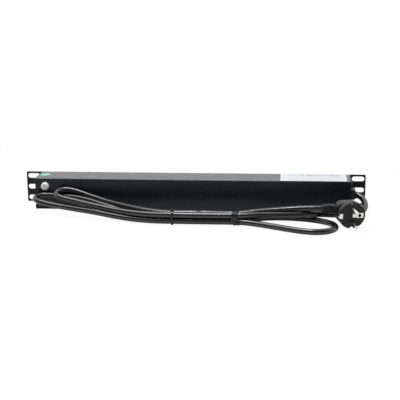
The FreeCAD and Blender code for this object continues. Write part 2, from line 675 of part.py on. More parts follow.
def make_earth_screw():
    """Pan-head screw with a cross recess that carries the earth connection on the rear face."""
    inside = REAR_INSIDE + RING_T + NUT_T + EARTH_SPARE
    seat = REAR - WASHER_T
    top = seat - EARTH_HEAD_H

    def at(y, radius):
        return V(EARTH_X + radius, y, EARTH_Z)

    profile = [at(inside, 0), at(inside, EARTH_R), at(seat, EARTH_R), at(seat, EARTH_HEAD_R)]
    for y, r in quarter((seat - EARTH_SIDE, EARTH_HEAD_R), (top, EARTH_FLAT), DOME_STEPS):
        profile.append(at(y, r))
    profile.append(at(top, 0))
    screw = turned(profile, V(EARTH_X, 0, EARTH_Z), Y_AXIS)
    for a, b in ((EARTH_CROSS_L / 2, EARTH_CROSS_W / 2), (EARTH_CROSS_W / 2, EARTH_CROSS_L / 2)):
        screw = screw.cut(box(EARTH_X - a, EARTH_X + a, top - PAST, top + EARTH_CROSS_D,
                              EARTH_Z - b, EARTH_Z + b))
    return screw


def flat_ring(outer, inner, y0, y1):
    ring = rod(outer, V(EARTH_X, y0, EARTH_Z), V(EARTH_X, y1, EARTH_Z))
    return ring.cut(rod(inner, V(EARTH_X, y0 - PAST, EARTH_Z), V(EARTH_X, y1 + PAST, EARTH_Z)))


def barrel_start():
    return V(EARTH_X + RING_R + BARREL_GAP, REAR_INSIDE + BARREL_R, EARTH_Z)


def make_earth_ring():
    """Crimped ring terminal inside the rear wall, its barrel towards the rail."""
    y1 = REAR_INSIDE + RING_T
    ring = flat_ring(RING_R, EARTH_HOLE_R, REAR_INSIDE, y1)
    start = barrel_start()
    tongue = box(EARTH_X + RING_R - TONGUE_LAP, start.x + TONGUE_LAP, REAR_INSIDE, y1,
                 EARTH_Z - BARREL_R, EARTH_Z + BARREL_R)
    barrel = rod(BARREL_R, start, start + X_AXIS * BARREL_L)
    hole = rod(BOND_R + CORD_FIT, start + X_AXIS * BARREL_END, start + X_AXIS * (BARREL_L + PAST))
    return ring.fuse([tongue, barrel]).removeSplitter().cut(hole)


def make_nut():
    y0 = REAR_INSIDE + RING_T
    corner = NUT_AF / 2 / math.cos(math.radians(30))
    ring = [V(EARTH_X + corner * math.cos(math.radians(60 * k)), y0,
              EARTH_Z + corner * math.sin(math.radians(60 * k))) for k in range(7)]
    nut = prism(Part.makePolygon(ring), V(0, NUT_T, 0))
    bore = rod(EARTH_R + JOINT_FIT, V(EARTH_X, y0 - PAST, EARTH_Z), V(EARTH_X, y0 + NUT_T + PAST, EARTH_Z))
    return nut.cut(bore)


def make_bond_lead():
    """Short earth lead from the ring terminal to the back of the earth rail."""
    start = barrel_start() + X_AXIS * BOND_IN
    y = EARTH_RAIL_Y - RAIL_T - BOND_R - JOINT_FIT
    bend = start + X_AXIS * BOND_OUT
    land = V(bend.x + BOND_DROP, y, MID_Z)
    return bent_tube([start, bend, land, land + X_AXIS * BOND_TAIL], BOND_R)[0]


def make_label():
    centre = V(LABEL_X, REAR + BODY_D / 2, UNIT_H)
    label = rounded_rect(centre, LABEL_L, LABEL_W, LABEL_CORNER, X_AXIS, Y_AXIS)
    return prism(label, V(0, 0, FILM))


def make_sticker():
    return Part.makeCylinder(STICKER_R, FILM, V(STICKER_X, REAR + STICKER_BACK, UNIT_H))


def route_points():
    """The cord's route in the model's frame; it starts on the bushing's axis."""
    start = [V(HALF_L - CORD_IN, BUSH_Y, BUSH_Z), V(HALF_L + CORD_OUT, BUSH_Y, BUSH_Z)]
    return start + [V(x * STRETCH, REAR - reach, z) for x, reach, z in ROUTE]


def neck_point(x):
    """Point on the cord's line in the plug's neck, x to the left of the plug's axis."""
    return V(-x, NECK_BACK + NECK_SLOPE * x, 0)


def place_plug(shape):
    """Moves a piece drawn at the plug's face, pins along -Y, onto the end of the cord."""
    done = shape.copy()
    turn = FreeCAD.Rotation(Z_AXIS, PLUG_YAW).multiply(FreeCAD.Rotation(X_AXIS, PLUG_TILT))
    origin = route_points()[-1] - turn.multVec(neck_point(NECK_L - NECK_HOLD))
    done.Placement = FreeCAD.Placement(origin, turn)
    return done


def earth_pin_bore():
    return rod(EARTH_PIN_R, V(EARTH_PIN_AT, -PAST, 0), V(EARTH_PIN_AT, STRAP_SINK - EARTH_PIN_FLOOR, 0))


def plug_strap():
    """Earth strap: a contact on each side of the rim and two pads on the face, joined inside."""
    w = STRAP_W / 2
    edge = PLUG_R - STRAP_SIDE
    deep = STRAP_SINK + STRAP_T
    end = PLUG_RIM - STRAP_SHORT
    right = PLUG_R - STRAP_RIGHT
    strap = box(-edge, edge, STRAP_SINK, deep, -w, w)
    strap = strap.fuse([
        box(-edge, STRAP_T - edge, 0, end, -w, w),
        box(edge - STRAP_T, edge, STRAP_SINK, end, -w, w),
        box(-edge, STRAP_LEFT - PLUG_R, 0, STRAP_T, -w, w),
        box(STRAP_INNER, right, 0, STRAP_T, -w, w),
        box(right - STRAP_T, right, 0, deep, -w, w),
        box(STEP_INNER, STRAP_INNER + STRAP_T, STEP_SINK, STEP_SINK + STRAP_T, -STEP_W / 2, STEP_W / 2),
    ])
    return strap.removeSplitter().cut(earth_pin_bore())


def plug_pin(sign):
    """Round pin with a domed tip."""
    z = sign * PIN_SPACING / 2
    profile = [V(0, PLUG_PIN_HOLD, z), V(PLUG_PIN_R, PLUG_PIN_HOLD, z)]
    for y, r in quarter((PLUG_PIN_TIP - PLUG_PIN_L, PLUG_PIN_R), (-PLUG_PIN_L, PLUG_PIN_FLAT), PIN_STEPS):
        profile.append(V(r, y, z))
    profile.append(V(0, -PLUG_PIN_L, z))
    return turned(profile, V(0, 0, z), Y_AXIS)


def plug_front():
    """Round front with rounded edges and the finger groove behind it."""
    e = PLUG_EDGE
    profile = [V(0, 0, 0)]
    front = quarter((e, PLUG_R), (0, PLUG_R - e), EDGE_STEPS)
    back = quarter((PLUG_RIM - e, PLUG_R), (PLUG_RIM, PLUG_R - e), EDGE_STEPS)
    for y, r in front[::-1] + back:
        profile.append(V(r, y, 0))
    groove = PLUG_RIM + WAIST_L + PAST
    profile += [V(WAIST_R, PLUG_RIM, 0), V(WAIST_R, groove, 0), V(0, groove, 0)]
    return turned(profile, V(0, 0, 0), Y_AXIS)


def plug_grip():
    """Grip block behind the groove, longer towards the cord, with a rounded back."""
    def section(y, inset):
        centre = V((GRIP_RIGHT - GRIP_LEFT) / 2, y, 0)
        return rounded_rect(centre, GRIP_LEFT + GRIP_RIGHT - 2 * inset, GRIP_H - 2 * inset,
                            GRIP_CORNER - inset, X_AXIS, Z_AXIS)

    start = PLUG_RIM + WAIST_L
    rings = [section(start, 0)]
    for y, left in quarter((GRIP_FULL, GRIP_ROUND), (GRIP_BACK, 0), GRIP_STEPS):
        rings.append(section(y, GRIP_ROUND - left))
    return Part.makeLoft(rings, True, True)


def plug_neck():
    """Slotted neck that leans back from the grip and holds the end of the cord."""
    def ring(x, size):
        return rounded_rect(neck_point(x), size, size, NECK_CORNER, Y_AXIS, Z_AXIS)

    neck = Part.makeLoft([ring(NECK_ROOT, NECK_H), ring(NECK_L, NECK_H - NECK_TAPER)], True, True)
    half = NECK_H / 2
    for k in range(NECK_SLOTS):
        c = neck_point(NECK_SLOT_MID + (k - (NECK_SLOTS - 1) / 2) * NECK_SLOT_PITCH)
        for sign in (-1, 1):
            y0, y1 = sorted((c.y + sign * (half - NECK_SLOT_D), c.y + sign * (half + PAST)))
            neck = neck.cut(box(c.x - NECK_SLOT_W / 2, c.x + NECK_SLOT_W / 2, y0, y1,
                                NECK_SLOT_UP, NECK_SLOT_UP + NECK_SLOT_H))
    held = rod(CORD_R + CORD_FIT, neck_point(NECK_L + PAST), neck_point(NECK_L - NECK_HOLD - JOINT_FIT))
    return neck.cut(held)


def plug_body():
    """Moulded plug with the seats of its pins and earth strap."""
    body = plug_front().fuse([plug_grip(), plug_neck()])
    w = STRAP_W / 2
    edge = PLUG_R - STRAP_SIDE
    for sign in (-1, 1):
        z0, z1 = sorted((sign * (PLUG_R - NOTCH_D), sign * (PLUG_R + PAST)))
        x0, x1 = sorted((sign * edge, sign * (PLUG_R + PAST)))
        body = body.cut(box(-NOTCH_W / 2, NOTCH_W / 2, -PAST, PLUG_RIM + PAST, z0, z1))
        body = body.cut(box(x0, x1, -PAST, PLUG_RIM - STRAP_SHORT, -w, w))
        body = body.cut(plug_pin(sign))
    body = body.cut(box(STEP_INNER, STRAP_INNER, -PAST, STEP_SINK, -STEP_W / 2, STEP_W / 2))
    return body.cut(plug_strap()).cut(earth_pin_bore())


def tie_ring(x0, width, thick):
    """Strap drawn tight round the four strands."""
    centre = V(x0, REAR - HANK_REACH, HANK_Z)
    inner = rounded_rect(centre, 2 * HANK_HALF, 2 * HANK_HALF, HANK_CORNER, Y_AXIS, Z_AXIS)
    side = 2 * (HANK_HALF + thick)
    outer = rounded_rect(centre, side, side, HANK_CORNER + thick, Y_AXIS, Z_AXIS)
    along = V(width, 0, 0)
    return prism(outer, along).cut(prism(inner, along))


def make_cable_tie():
    """Narrow strap with its head on top of the hank and a cut tail."""
    x = TIE_X * STRETCH
    strap = tie_ring(x - TIE_W / 2, TIE_W, TIE_T)
    a, b, c = TIE_HEAD
    z0 = HANK_Z + HANK_HALF
    y0 = REAR - HANK_REACH - TIE_HEAD_OUT
    head = box(x - a / 2, x + a / 2, y0 - b / 2, y0 + b / 2, z0, z0 + c)
    tail = box(x - TIE_W / 2, x + TIE_W / 2, y0 - TIE_T / 2, y0 + TIE_T / 2, z0 + c, z0 + c + TIE_TAIL)
    return strap.fuse([head, tail]).removeSplitter()


def make_twist_tie():
    """Flat wire tie wound round the hank, its ends twisted together in front and one left standing."""
    x = TWIST_X * STRETCH
    run = TWIST_PITCH * (TWIST_TURNS - 1) + TWIST_W
    first = x - run / 2
    coil = tie_ring(first, run, TWIST_BASE)
    rings = [tie_ring(first + k * TWIST_PITCH, TWIST_W, TWIST_T) for k in range(TWIST_TURNS)]
    knot = V(x, REAR - HANK_REACH - HANK_HALF - TWIST_T, HANK_Z - TWIST_LOW)
    stub = V(x + TWIST_KNOT, REAR - HANK_REACH - TWIST_KNOT, HANK_Z + HANK_HALF)
    ends = [rod(TWIST_END_R, stub, stub + Z_AXIS * TWIST_UP)]
    for sign in (-1, 1):
        ends.append(rod(TWIST_END_R, knot - V(TWIST_KNOT, 0, sign * TWIST_RISE),
                        knot + V(TWIST_KNOT, -TWIST_RISE, sign * TWIST_RISE)))
    return coil.fuse(rings + ends).removeSplitter()


def build():
    """All the pieces, by node name."""
    parts = {"housing_profile": make_channel()}
    for name, side in (("left", -1), ("right", 1)):
        parts[name + "_bracket"] = make_bracket(side)
        for port, level in enumerate(("lower", "upper")):
            parts["%s_end_screw_%s" % (name, level)] = make_end_screw(side, port)
    for i in range(OUTLETS):
        parts["outlet_%d" % (i + 1)] = make_outlet(i)
    parts["left_filler"] = make_cover(STRIP_X0, OUTLET_X0)
    parts["terminal_cover"] = make_cover(OUTLET_X1, OUTLET_X1 + COVER_W)
    parts["live_rail"] = make_rail(-1)
    parts["neutral_rail"] = make_rail(1)
    parts["rail_insulator"] = make_insulator()
    parts["earth_rail"] = make_earth_rail()
    parts["terminal_block"] = make_block()
    for k, name in enumerate(("live_lead", "earth_lead", "neutral_lead")):
        parts[name] = make_lead(k)
    parts["cord_bushing"] = make_bushing()
    parts["earth_screw"] = make_earth_screw()
    parts["earth_washer"] = flat_ring(WASHER_R, EARTH_HOLE_R, REAR - WASHER_T, REAR)
    parts["earth_ring_terminal"] = make_earth_ring()
    parts["earth_nut"] = make_nut()
    parts["earth_bond_lead"] = make_bond_lead()
    parts["rating_label"] = make_label()
    parts["inspection_sticker"] = make_sticker()
    cord, length, radii = bent_tube(route_points(), CORD_R)
    parts["supply_cord"] = cord
    parts["plug_body"] = place_plug(plug_body())
    parts["plug_pin_upper"] = place_plug(plug_pin(1))
    parts["plug_pin_lower"] = place_plug(plug_pin(-1))
    parts["plug_earth_strap"] = place_plug(plug_strap())
    parts["cable_tie"] = make_cable_tie()
    parts["twist_tie"] = make_twist_tie()
    section = math.pi * CORD_R ** 2
    print("cord: length %.1f, section x length %.1f, volume %.1f" % (length, section * length, cord.Volume))
    print("cord: bend radii", ", ".join("%.0f" % r for r in radii))
    print("cord: smallest bend %.1f" % min(radii))
    return parts


def main():
    os.makedirs("parts", exist_ok=True)
    for name, shape in build().items():
        solids = shape.Solids
        if not shape.isValid() or len(solids) != 1:
            print("check", name, "solids", len(solids), "valid", shape.isValid())
        solids[0].exportStep("parts/%s.step" % name)
        print("%-24s volume %9.1f mm3" % (name, shape.Volume))


main()
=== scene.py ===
# %% [markdown]
# # A rack power distribution unit and its folded cord
#
# The unit is a black power strip, one rack unit high, seen from behind. Its solids come finished
# from the CAD model. This lesson gives them their finishes, lays the supply cord as one smooth
# line, and sets up a camera and plain studio light. Lengths are in metres, and the frame is the
# model's own: X along the unit, +Y out of the outlets, Z up, the floor at Z = 0.

# %% Load the solids
import bpy
import bmesh
import json
import math
from mathutils import Matrix, Vector


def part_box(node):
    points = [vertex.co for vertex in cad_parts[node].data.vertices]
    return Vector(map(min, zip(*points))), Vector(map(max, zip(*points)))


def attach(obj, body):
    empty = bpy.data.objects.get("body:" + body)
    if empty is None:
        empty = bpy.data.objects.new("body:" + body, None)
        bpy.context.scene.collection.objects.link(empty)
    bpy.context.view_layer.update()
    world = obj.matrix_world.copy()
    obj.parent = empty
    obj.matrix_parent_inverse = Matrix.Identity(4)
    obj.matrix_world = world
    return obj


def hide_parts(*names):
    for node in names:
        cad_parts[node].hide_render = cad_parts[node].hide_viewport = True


MM = 0.001
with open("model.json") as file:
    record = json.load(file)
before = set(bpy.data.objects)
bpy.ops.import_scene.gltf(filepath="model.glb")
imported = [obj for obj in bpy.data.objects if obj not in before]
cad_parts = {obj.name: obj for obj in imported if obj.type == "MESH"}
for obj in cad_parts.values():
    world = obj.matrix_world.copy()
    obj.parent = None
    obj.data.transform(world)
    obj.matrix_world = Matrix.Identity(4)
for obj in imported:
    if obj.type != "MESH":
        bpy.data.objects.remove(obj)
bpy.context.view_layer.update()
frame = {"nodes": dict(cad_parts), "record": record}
nodes = frame["nodes"]
channel_low, channel_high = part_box("housing_profile")
REAR = channel_low.y
print("solids:", len(nodes), "rear face at", round(REAR, 4), "top at", round(channel_high.z, 4))

# %% [markdown]
# ## Where the camera stands
#
# The photograph was taken from behind the unit, above it and to the right. Three angles and a
# place describe that. A look-at constraint would be shorter, but it can't hold the small roll
# that the picture has, so the camera's axes are built one after the other.

# %% Camera
CAMERA_AT = Vector((0.1335, -1.4162, 0.3818))
YAW = math.radians(-4.975)
PITCH = math.radians(14.642)
ROLL = math.radians(0.548)
FOCAL_PX = 1046.6           # focal length, in pixels of the picture
IMAGE_PX = 400
SENSOR = 36.0               # mm, as Blender gives a lens
CLIP_END = 50               # past the far edge of the floor

ahead = Vector((math.sin(YAW) * math.cos(PITCH), math.cos(YAW) * math.cos(PITCH), -math.sin(PITCH)))
level = Vector((math.cos(YAW), -math.sin(YAW), 0))
down = ahead.cross(level)
right = level * math.cos(ROLL) + down * math.sin(ROLL)
up = level * math.sin(ROLL) - down * math.cos(ROLL)
camera = bpy.data.objects.new("camera", bpy.data.cameras.new("camera"))
camera.data.sensor_width = SENSOR
camera.data.lens = SENSOR * FOCAL_PX / IMAGE_PX
camera.data.clip_end = CLIP_END
camera.matrix_world = Matrix.Translation(CAMERA_AT) @ Matrix((right, up, -ahead)).transposed().to_4x4()
bpy.context.collection.objects.link(camera)
bpy.context.scene.camera = camera
print("lens", round(camera.data.lens, 2), "mm")

# %% [markdown]
# ## The supply cord
#
# The real cord is a round black sheath, 8 mm thick. It leaves the bushing, runs behind the plug,
# and is folded into a hank, twice at the left and once at the right, which two ties hold. A mesh
# swept by hand would need its own corners rounded. A NURBS curve takes the route's points as
# control points and is smooth by itself, so it is the better cable. Each point is x, reach in
# front of the rear face, and height, in millimetres.

# %% Cord route
ROUTE_MM = [
    (211.5, -22.0, 22.2), (220.5, -22.0, 22.2), (229.6, -20.6, 20.7), (237.0, -12.4, 16.2),
    (239.4, 1.0, 11.0), (235.4, 13.5, 7.2), (224.0, 24.0, 5.8), (209.0, 32.5, 6.4),
    (192.0, 41.0, 8.3), (173.1, 53.0, 12.4), (150.7, 59.4, 12.7), (129.7, 64.0, 13.4),
    (108.7, 66.0, 13.7), (89.1, 70.0, 14.2), (71.0, 72.0, 13.6), (57.0, 72.2, 13.5),
    (43.0, 72.3, 13.45), (29.0, 72.3, 13.45), (15.0, 72.3, 13.45), (1.5, 72.3, 13.45),
    (-12.0, 72.2, 13.5), (-26.0, 72.2, 13.6), (-47.0, 70.0, 13.2), (-73.8, 62.5, 12.9),
    (-99.6, 53.6, 14.2), (-124.1, 44.9, 16.8), (-145.6, 37.8, 19.4), (-163.6, 32.4, 22.0),
    (-178.2, 29.8, 24.4), (-185.5, 22.6, 26.3), (-185.5, 12.3, 28.6), (-178.2, 5.0, 30.2),
    (-167.0, 4.4, 29.2), (-152.8, 5.8, 25.6), (-135.1, 11.0, 20.8), (-111.5, 22.5, 16.6),
    (-85.6, 37.6, 15.2), (-62.0, 51.2, 14.1), (-43.0, 59.5, 14.0), (-26.0, 63.5, 13.85),
    (-12.0, 63.9, 14.05), (2.0, 63.9, 14.3), (15.0, 63.8, 14.0), (29.0, 63.7, 9.2),
    (43.0, 63.8, 5.9), (57.0, 63.8, 5.5), (71.0, 63.6, 5.45), (87.0, 58.5, 5.9), (106.0, 50.4, 5.8),
    (127.0, 45.0, 4.6), (147.0, 45.6, 4.1), (166.0, 51.0, 4.05), (183.0, 61.0, 4.05),
    (194.3, 75.0, 4.05), (195.8, 92.0, 4.05), (185.5, 105.5, 4.05), (168.5, 110.5, 4.05),
    (149.0, 105.5, 4.05), (128.0, 94.5, 4.05), (108.0, 83.5, 4.1), (89.0, 75.6, 4.7),
    (72.0, 72.4, 5.45), (57.0, 72.2, 5.5), (43.0, 72.3, 5.5), (29.0, 72.3, 5.5), (15.0, 72.3, 5.5),
    (1.5, 72.3, 5.5), (-12.0, 72.2, 5.5), (-26.0, 72.0, 5.45), (-46.0, 69.5, 5.0),
    (-71.0, 63.5, 4.9), (-97.8, 57.2, 6.9), (-123.5, 50.0, 9.8), (-150.0, 40.4, 10.9),
    (-173.0, 33.4, 12.5), (-191.2, 30.6, 14.6), (-206.7, 28.8, 17.4), (-215.0, 21.5, 19.5),
    (-215.4, 11.5, 20.9), (-207.5, 4.9, 21.6), (-193.5, 4.5, 20.9), (-178.3, 5.8, 20.1),
    (-158.3, 10.0, 19.8), (-136.5, 18.5, 17.0), (-110.8, 31.0, 12.8), (-84.4, 42.5, 8.3),
    (-62.0, 51.8, 6.0), (-43.0, 59.5, 5.6), (-26.0, 63.5, 5.5), (-12.0, 63.2, 5.5),
    (2.0, 56.4, 9.6), (15.0, 54.6, 11.8), (29.0, 55.2, 11.8), (43.0, 60.0, 12.9), (57.0, 63.8, 13.8),
    (71.0, 63.6, 13.95), (90.1, 60.4, 16.0), (109.8, 57.4, 17.3), (130.9, 56.4, 18.8),
    (149.0, 56.4, 20.4), (160.5, 57.0, 20.9), (171.4, 57.5, 21.36), (183.6, 56.7, 21.11),
]
route = [Vector((x * MM, REAR - reach * MM, z * MM)) for x, reach, z in ROUTE_MM]
print("cord route:", len(route), "points")

# %% Cord curve
CORD_R = 4.0 * MM
line = bpy.data.curves.new("cord_line", "CURVE")
line.dimensions = "3D"
line.resolution_u = 6
line.bevel_depth = 1.0          # times each point's radius
line.bevel_resolution = 5
line.use_fill_caps = True
spline = line.splines.new("NURBS")
spline.points.add(len(route) - 1)
for control, place in zip(spline.points, route):
    control.co = (*place, 1)
    control.radius = CORD_R
spline.order_u = 3
spline.use_endpoint_u = True
cord = bpy.data.objects.new("cord", line)
bpy.context.collection.objects.link(cord)
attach(cord, "root")
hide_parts("supply_cord")
print("cord length", round(spline.calc_length(), 4), "m")

# %% [markdown]
# ## The wire tie
#
# Right of the middle, a flat plastic strip with a wire in it is wound three times round the four
# strands, and its ends are twisted together in front. The CAD model has plain rings there. A
# strip is easy to sweep: its section is drawn once, with the ridge of the wire in the middle, and
# carried along a helix. Four round strands side by side have a rounded square as their outline,
# so the helix follows a superellipse, which bends gently over the flats and quickly at the corners.

# %% Helpers for swept strips
HANK_AT = Vector((0, REAR - 67.95 * MM, 9.65 * MM))     # middle of the four strands
SQUARENESS = 4


def round_the_hank(turn, size, x):
    """Place on a rounded square round the hank, and the way out: turn 0 is in front, 0.25 on top."""
    angle = 2 * math.pi * turn
    y, z = -math.cos(angle), math.sin(angle)
    reach = size / (abs(y) ** SQUARENESS + abs(z) ** SQUARENESS) ** (1 / SQUARENESS)
    steep = SQUARENESS - 1
    outward = Vector((0, math.copysign(abs(y) ** steep, y), math.copysign(abs(z) ** steep, z)))
    return HANK_AT + Vector((x, y * reach, z * reach)), outward.normalized()


def sweep(mesh, places, outwards, section):
    """Carries a section, drawn as (sideways, outwards), along places and closes its two ends."""
    rings = []
    for i, (place, outward) in enumerate(zip(places, outwards)):
        onward = places[min(i + 1, len(places) - 1)] - places[max(i - 1, 0)]
        sideways = onward.cross(outward).normalized()
        rings.append([mesh.verts.new(place + sideways * a + outward * b) for a, b in section])
    count = len(section)
    for one, two in zip(rings, rings[1:]):
        for k in range(count):
            mesh.faces.new((one[k], one[(k + 1) % count], two[(k + 1) % count], two[k]))
    mesh.faces.new(rings[0][::-1])
    mesh.faces.new(rings[-1])


def round_section(radius, sides=10):
    """Section of a round wire."""
    angles = [2 * math.pi * k / sides for k in range(sides)]
    return [(radius * math.cos(a), radius * math.sin(a)) for a in angles]


print("middle of the hank:", [round(v, 4) for v in HANK_AT])

# %% Wire tie: wound turns
TIE_X = 64.6 * MM
TIE_SIZE = 8.75 * MM
TIE_PITCH = 3.0 * MM
TIE_TURNS = 3
TURN_STEPS = 72
TIE_START = -0.09           # of a turn: the strip starts low in front
WOBBLE, WOBBLE_RATE, WOBBLE_START = 0.25 * MM, 5.1, 0.6     # a strip is never wound quite evenly
STRIP = [(a * MM, b * MM) for a, b in (
    (-1.25, 0.0), (1.25, 0.0), (1.35, 0.12), (1.25, 0.26), (0.62, 0.32), (0.40, 0.62),
    (0.0, 0.78), (-0.40, 0.62), (-0.62, 0.32), (-1.25, 0.26), (-1.35, 0.12))]

wire_mesh = bmesh.new()
coil = []
for i in range(TIE_TURNS * TURN_STEPS + 1):
    turn = i / TURN_STEPS
    wobble = WOBBLE * math.sin(WOBBLE_RATE * turn + WOBBLE_START)
    x = TIE_X + TIE_PITCH * (turn - TIE_TURNS / 2) + wobble
    coil.append(round_the_hank(TIE_START + turn, TIE_SIZE, x))
sweep(wire_mesh, [c[0] for c in coil], [c[1] for c in coil], STRIP)
print("wound turns:", TIE_TURNS, "in", len(coil), "places")

# %% Wire tie: twisted ends
KNOT_FROM_ENDS = Vector((-2.0, -1.3, -0.6)) * MM
TWIST = Vector((5.4, -1.8, 0.4)) * MM       # from the knot to the tip
TWIST_TURNS, TWIST_STEPS = 2.25, 48
TWIST_R, WIRE_R = 0.62 * MM, 0.68 * MM      # of the twist's line, and of each end

first, last = coil[0][0], coil[-1][0]
knot = (first + last) / 2 + KNOT_FROM_ENDS
tip = knot + TWIST
axis = (tip - knot).normalized()
beside = axis.orthogonal().normalized()
for phase in (0, math.pi):
    places, outwards = [], []
    for i in range(TWIST_STEPS + 1):
        angle = phase + 2 * math.pi * TWIST_TURNS * i / TWIST_STEPS
        outward = beside * math.cos(angle) + axis.cross(beside) * math.sin(angle)
        places.append(knot.lerp(tip, i / TWIST_STEPS) + outward * TWIST_R)
        outwards.append(outward)
    sweep(wire_mesh, places, outwards, round_section(WIRE_R))
print("twisted ends:", round(TWIST.length / MM, 1), "mm long")

# %% Wire tie: leads to the knot and the strip's free end
LEAD_BULGES = (Vector((0.6, -0.7, 0.1)) * MM, Vector((-0.6, -0.7, 0.2)) * MM)
LEAD_STEPS, LEAD_R = 12, 0.66 * MM
LEAD_OUT = Vector((0, -1, 0.2)).normalized()
FREE_TURN, FREE_X, FREE_STEPS = 0.19, 2.8 * MM, 10
FREE_BEND, FREE_LEAN, FREE_RISE, FREE_SUNK = 0.6 * MM, 0.8 * MM, 5.6 * MM, 0.6 * MM
FREE_OUT = Vector((0, -1, 0))

for end, bulge in zip((first, last), LEAD_BULGES):
    shares = [i / LEAD_STEPS for i in range(LEAD_STEPS + 1)]
    places = [end.lerp(knot, share) + bulge * math.sin(math.pi * share) for share in shares]
    sweep(wire_mesh, places, [LEAD_OUT] * len(places), round_section(LEAD_R))
free_end = round_the_hank(FREE_TURN, TIE_SIZE, TIE_X + FREE_X)[0]
shares = [i / FREE_STEPS for i in range(FREE_STEPS + 1)]
places = [free_end + Vector((FREE_BEND * share ** 2, -FREE_LEAN * share, FREE_RISE * share - FREE_SUNK))
          for share in shares]
sweep(wire_mesh, places, [FREE_OUT] * len(places), STRIP)
print("free end rises", round((FREE_RISE - FREE_SUNK) / MM, 1), "mm")

# %% Wire tie: the piece
bmesh.ops.recalc_face_normals(wire_mesh, faces=wire_mesh.faces)
tie_data = bpy.data.meshes.new("wire_tie")
wire_mesh.to_mesh(tie_data)
wire_mesh.free()
wire_tie = bpy.data.objects.new("wire_tie", tie_data)
bpy.context.collection.objects.link(wire_tie)
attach(wire_tie, "root")
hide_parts("twist_tie")
print("wire tie:", len(tie_data.polygons), "faces")

# %% [markdown]
# ## Light and white surroundings
#
# A product of this kind is photographed on a white sweep under large soft boxes. A black satin
# surface has almost no colour of its own: what it shows is the light around it. So the white of
# the surroundings matters more here than the lamps do. The world is white to the camera and in
# reflections, apart from the side behind the camera, where a studio is a dark room: that is what
# gives each round strand its dark core between two light lines. As fill light it is dimmer, which
# keeps the soft shadows. The floor is lit close to the unit and turns to plain white further out.
# Light Path tells these rays apart, so no lamp has to be stronger for the sake of the background.

# %% Helpers for node trees
def add(tree, kind, values=None, **options):
    """One node; options are its settings, values its inputs: plain values or other nodes' outputs."""
    made = tree.nodes.new(kind)
    for key, value in options.items():
        setattr(made, key, value)
    for key, value in (values or {}).items():
        if isinstance(value, bpy.types.NodeSocket):
            join(tree, value, made.inputs[key])
        else:
            made.inputs[key].default_value = value
    return made


def join(tree, source, target):
    """Links an output socket to an input socket."""
    tree.links.new(source, target)


def maths(tree, operation, *values):
    """Output of one Math node on numbers or other nodes' outputs."""
    return add(tree, "ShaderNodeMath", dict(enumerate(values)), operation=operation).outputs[0]


def ramp(tree, value, start, stop, low=0.0, high=1.0, **options):
    """Output that runs from low to high while a value runs from start to stop."""
    values = {"Value": value, "From Min": start, "From Max": stop, "To Min": low, "To Max": high}
    return add(tree, "ShaderNodeMapRange", values, **options).outputs["Result"]


def mirrored(tree, path):
    """Value that is 1 for rays off a gloss or through glass, from a Light Path node."""
    return maths(tree, "MAXIMUM", path.outputs["Is Glossy Ray"], path.outputs["Is Transmission Ray"])


WHITE = (1, 1, 1, 1)
print("helpers for node trees are ready")

# %% World
FILL = 0.26
ROOM = 0.18                 # brightness of the room behind the camera, in reflections
SWEEP = 1.3                 # and of the white sweep behind the unit
ROOM_END, SWEEP_START = -0.45, 0.25         # where one turns into the other, as Y of the direction
world = bpy.data.worlds.new("studio")
world.use_nodes = True
bpy.context.scene.world = world
tree = world.node_tree
tree.nodes.clear()
way = add(tree, "ShaderNodeTexCoord")
apart = add(tree, "ShaderNodeSeparateXYZ", {0: way.outputs["Generated"]})
around = ramp(tree, apart.outputs["Y"], ROOM_END, SWEEP_START, ROOM, SWEEP, interpolation_type="SMOOTHSTEP")
path = add(tree, "ShaderNodeLightPath")
bright = maths(tree, "MAXIMUM", around, path.outputs["Is Camera Ray"])
seen = maths(tree, "MAXIMUM", path.outputs["Is Camera Ray"], mirrored(tree, path))
fill = add(tree, "ShaderNodeBackground", {"Color": WHITE, "Strength": FILL})
white = add(tree, "ShaderNodeBackground", {"Color": WHITE, "Strength": bright})
choose = add(tree, "ShaderNodeMixShader", {0: seen, 1: fill.outputs[0], 2: white.outputs[0]})
add(tree, "ShaderNodeOutputWorld", {"Surface": choose.outputs[0]})
bpy.context.scene.view_settings.view_transform = "Standard"
print("world fill", FILL)

# %% Soft boxes
def soft_box(name, place, aim, width, depth, radiance):
    """Rectangular lamp of a given brightness of its own face."""
    lamp = bpy.data.lights.new(name, "AREA")
    lamp.shape = "RECTANGLE"
    lamp.size = width
    lamp.size_y = depth
    lamp.energy = radiance * math.pi * width * depth
    made = bpy.data.objects.new(name, lamp)
    made.location = place
    made.rotation_euler = (Vector(aim) - Vector(place)).to_track_quat("-Z", "Y").to_euler()
    bpy.context.collection.objects.link(made)


soft_box("key_box", (-0.09, -0.16, 1.25), (0, -0.05, 0), width=0.36, depth=0.44, radiance=19.0)
soft_box("left_box", (-0.55, -0.12, 1.25), (-0.1, -0.05, 0), width=0.90, depth=0.40, radiance=5.0)

# %% Floor
FLOOR_SIDE = 8.0
FLOOR_DROP = 0.0002         # below the solids, so that no faces coincide
half = FLOOR_SIDE / 2
floor_mesh = bpy.data.meshes.new("floor")
floor_mesh.from_pydata(
    [(x, y, -FLOOR_DROP) for x, y in ((-half, -half), (half, -half), (half, half), (-half, half))],
    [], [(0, 1, 2, 3)])
floor = bpy.data.objects.new("floor", floor_mesh)
bpy.context.collection.objects.link(floor)
print("floor", FLOOR_SIDE, "m square")

# %% White paper of the floor
PAPER = (0.86, 0.86, 0.86, 1)
LIT_REACH = (0.30, 0.75)    # the lit part fades between these distances from the unit
WHITE_SHARE = 0.94          # part of the near floor that is plain white to the camera
MIRROR_SHARE = 0.05         # the same in reflections, which keep more of the shadow under the cord

